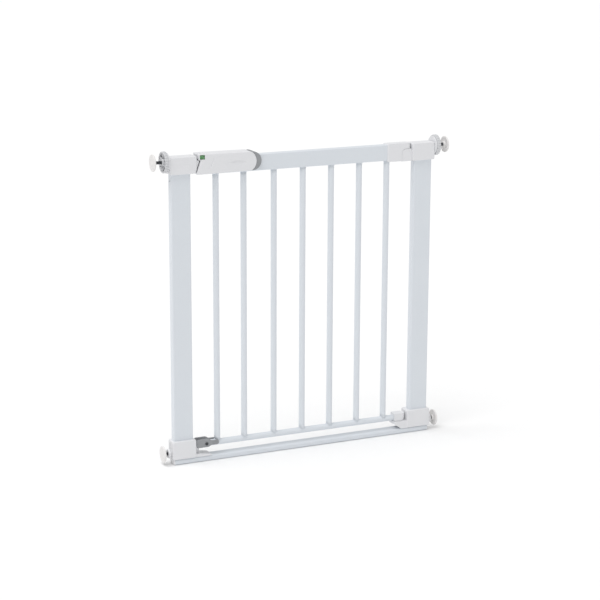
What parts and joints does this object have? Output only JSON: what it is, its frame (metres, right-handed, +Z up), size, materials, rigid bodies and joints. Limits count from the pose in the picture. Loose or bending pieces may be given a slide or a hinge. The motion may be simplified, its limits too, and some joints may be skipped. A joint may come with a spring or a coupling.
{
  "type": "stair safety gate with sliding latch",
  "caption": "Pressure-fit stair gate: a U-shaped tube frame with wall spindles, and a barred door that swings on lift-off hinges behind a sliding, lift-to-open latch.",
  "frame": {"origin": "on the floor under the threshold bar, midway between the two posts and on the gate's middle plane", "axes": "+X from the latch post to the hinge post, +Y to the back of the gate, +Z up"},
  "size_m": [0.788, 0.052, 0.777],
  "materials": {
    "white_powder_coat": "satin white powder coat",
    "white_plastic": "fine moulded grain",
    "grey_plastic": "fine moulded grain",
    "green_plastic": "smooth",
    "red_plastic": "smooth",
    "clear_window": "clear moulded window",
    "zinc_steel": "zinc plated",
    "dark_steel": "blackened",
    "pad_plastic": "soft touch, fine grain",
    "dark_rivet": "blackened rivet"
  },
  "bodies": {
    "frame": {"left_post": "white_powder_coat", "right_post": "white_powder_coat", "threshold_bar": "white_powder_coat", "threshold_plugs": "white_plastic", "keeper_housing_front": "white_plastic", "keeper_housing_rear": "white_plastic", "keeper_strike": "white_plastic", "hinge_housing_front": "white_plastic", "hinge_housing_rear": "white_plastic", "upper_hinge_knuckle": "white_plastic", "left_foot_housing_front": "white_plastic", "left_foot_housing_rear": "white_plastic", "right_foot_housing_front": "white_plastic", "right_foot_housing_rear": "white_plastic", "closing_ramp": "white_plastic", "lower_hinge_cradle": "white_plastic", "frame_screws": "zinc_steel", "spindle_guides": "white_plastic"},
    "hinge_pins": {"upper_hinge_pin": "zinc_steel", "lower_hinge_pin": "zinc_steel"},
    "door": {"top_rail": "white_powder_coat", "bottom_rail": "white_powder_coat", "bar_1": "white_powder_coat", "bar_2": "white_powder_coat", "bar_3": "white_powder_coat", "bar_4": "white_powder_coat", "bar_5": "white_powder_coat", "bar_6": "white_powder_coat", "bar_7": "white_powder_coat", "hinge_cover_front": "white_plastic", "hinge_cover_rear": "white_plastic", "lower_hinge_cap": "white_plastic", "rail_end_cap": "white_plastic", "stop_lever_pin": "dark_rivet", "handle_front_shell": "white_plastic", "handle_rear_shell": "white_plastic", "door_screws": "zinc_steel", "indicator_windows": "clear_window", "indicator_backing": "red_plastic", "spring_stop": "white_plastic", "latch_spring": "zinc_steel"},
    "slider": {"slide_button": "grey_plastic", "button_pin": "zinc_steel", "slide_plate": "zinc_steel", "latch_bolt": "zinc_steel", "indicator_shutter": "green_plastic"},
    "front_stop_lever": {"front_stop_lever": "grey_plastic"},
    "rear_stop_lever": {"rear_stop_lever": "grey_plastic"},
    "top_left_nut": {"top_left_handwheel": "white_plastic"},
    "top_left_spindle": {"top_left_rod": "dark_steel", "top_left_pad": "pad_plastic"},
    "top_right_nut": {"top_right_handwheel": "white_plastic"},
    "top_right_spindle": {"top_right_rod": "dark_steel", "top_right_pad": "pad_plastic"},
    "foot_left_nut": {"foot_left_nut": "white_plastic"},
    "foot_left_spindle": {"foot_left_rod": "dark_steel", "foot_left_pad": "pad_plastic"},
    "foot_right_nut": {"foot_right_nut": "white_plastic"},
    "foot_right_spindle": {"foot_right_rod": "dark_steel", "foot_right_pad": "pad_plastic"}
  },
  "joints": [
    {"name": "door_swing", "type": "hinge", "parent": "frame", "child": "hinge_pins", "pos_m": [0.278, 0, 0.4], "axis": [0, 0, 1], "range_deg": [-90, 90]},
    {"name": "door_lift", "type": "slide", "parent": "hinge_pins", "child": "door", "axis": [0, 0, 1], "range_m": [0, 0.0075]},
    {"name": "button_slide", "type": "slide", "parent": "door", "child": "slider", "axis": [1, 0, 0], "range_m": [0, 0.0115], "stiffness_N_per_m": 300, "springref_m": -0.01, "deforming": ["latch_spring"]},
    {"name": "front_lever_tilt", "type": "hinge", "parent": "door", "child": "front_stop_lever", "pos_m": [-0.2655, -0.0106, 0.044], "axis": [0, 1, 0], "range_deg": [0, 35]},
    {"name": "rear_lever_tilt", "type": "hinge", "parent": "door", "child": "rear_stop_lever", "pos_m": [-0.2655, 0.0106, 0.044], "axis": [0, 1, 0], "range_deg": [0, 35]},
    {"name": "top_left_nut_turn", "type": "hinge", "parent": "frame", "child": "top_left_nut", "pos_m": [-0.362, 0, 0.751], "axis": [1, 0, 0], "range_deg": [-3476, 2324]},
    {"name": "top_left_spindle_travel", "type": "slide", "parent": "frame", "child": "top_left_spindle", "axis": [-1, 0, 0], "range_m": [-0.012, 0.008]},
    {"name": "top_right_nut_turn", "type": "hinge", "parent": "frame", "child": "top_right_nut", "pos_m": [0.362, 0, 0.747], "axis": [-1, 0, 0], "range_deg": [-3476, 2324]},
    {"name": "top_right_spindle_travel", "type": "slide", "parent": "frame", "child": "top_right_spindle", "axis": [1, 0, 0], "range_m": [-0.012, 0.008]},
    {"name": "foot_left_nut_turn", "type": "hinge", "parent": "frame", "child": "foot_left_nut", "pos_m": [-0.362, 0, 0.028], "axis": [1, 0, 0], "range_deg": [-1172, 5780]},
    {"name": "foot_left_spindle_travel", "type": "slide", "parent": "frame", "child": "foot_left_spindle", "axis": [-1, 0, 0], "range_m": [-0.004, 0.02]},
    {"name": "foot_right_nut_turn", "type": "hinge", "parent": "frame", "child": "foot_right_nut", "pos_m": [0.362, 0, 0.028], "axis": [-1, 0, 0], "range_deg": [-1172, 5780]},
    {"name": "foot_right_spindle_travel", "type": "slide", "parent": "frame", "child": "foot_right_spindle", "axis": [1, 0, 0], "range_m": [-0.004, 0.02]}
  ],
  "couplings": [
    {"joint": "top_left_nut_turn", "follows": "top_left_spindle_travel", "rad_per_m": 5026.5},
    {"joint": "top_right_nut_turn", "follows": "top_right_spindle_travel", "rad_per_m": 5026.5},
    {"joint": "foot_left_nut_turn", "follows": "foot_left_spindle_travel", "rad_per_m": 5026.5},
    {"joint": "foot_right_nut_turn", "follows": "foot_right_spindle_travel", "rad_per_m": 5026.5}
  ]
}
